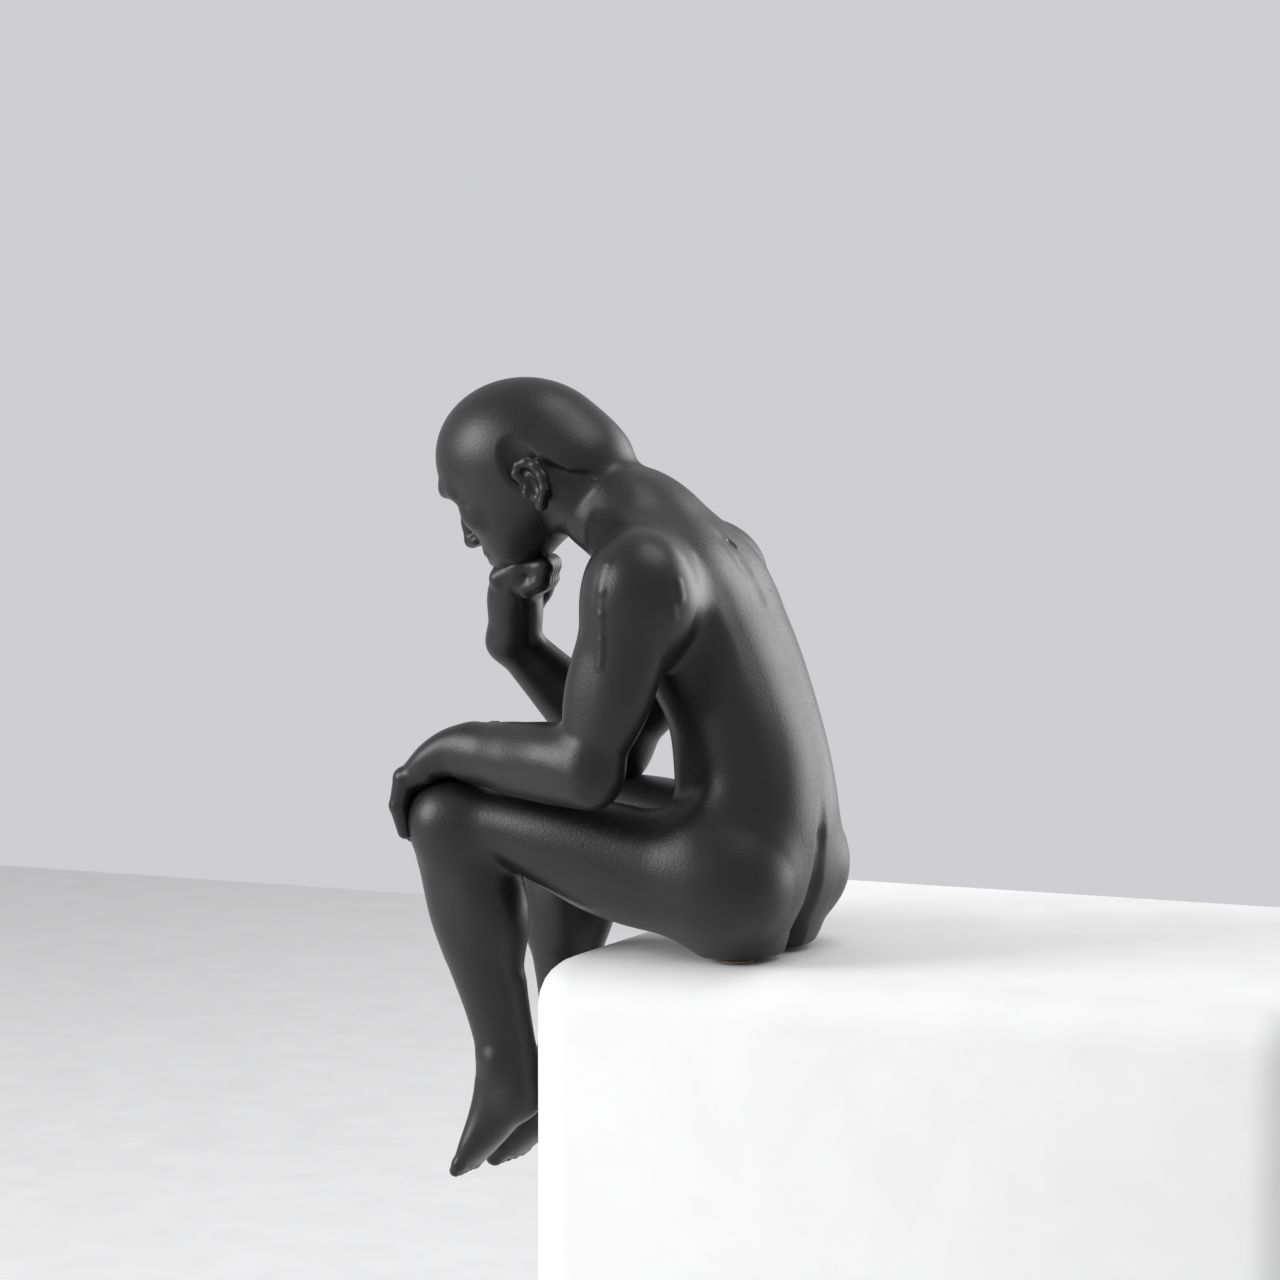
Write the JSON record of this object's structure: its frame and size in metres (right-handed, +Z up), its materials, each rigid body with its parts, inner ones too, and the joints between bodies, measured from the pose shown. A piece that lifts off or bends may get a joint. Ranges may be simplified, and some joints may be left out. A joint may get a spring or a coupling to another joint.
{
  "type": "seated thinker figurine",
  "caption": "Matte black resin figure of a pensive seated person for the edge of a shelf, chin on one hand, the other hand over a knee, lower legs hanging free.",
  "frame": {"origin": "on the ledge surface, midway between the two seat pads", "axes": "+Z up, the figure faces -Y, its left side is +X"},
  "size_m": [0.077, 0.0855, 0.1667],
  "materials": {
    "black_resin": "satin",
    "dowel_steel": "satin",
    "pad_gel": "satin"
  },
  "bodies": {
    "root": {"torso": "black_resin", "head": "black_resin", "left_arm": "black_resin", "right_arm": "black_resin", "left_hand": "black_resin", "right_hand": "black_resin", "left_leg": "black_resin", "right_leg": "black_resin", "left_foot": "black_resin", "right_foot": "black_resin", "neck_dowel": "dowel_steel", "left_shoulder_dowel": "dowel_steel", "right_shoulder_dowel": "dowel_steel", "left_hip_dowel": "dowel_steel", "right_hip_dowel": "dowel_steel", "left_wrist_dowel": "dowel_steel", "right_wrist_dowel": "dowel_steel", "left_ankle_dowel": "dowel_steel", "right_ankle_dowel": "dowel_steel", "left_seat_pad": "pad_gel", "right_seat_pad": "pad_gel"}
  },
  "joints": []
}
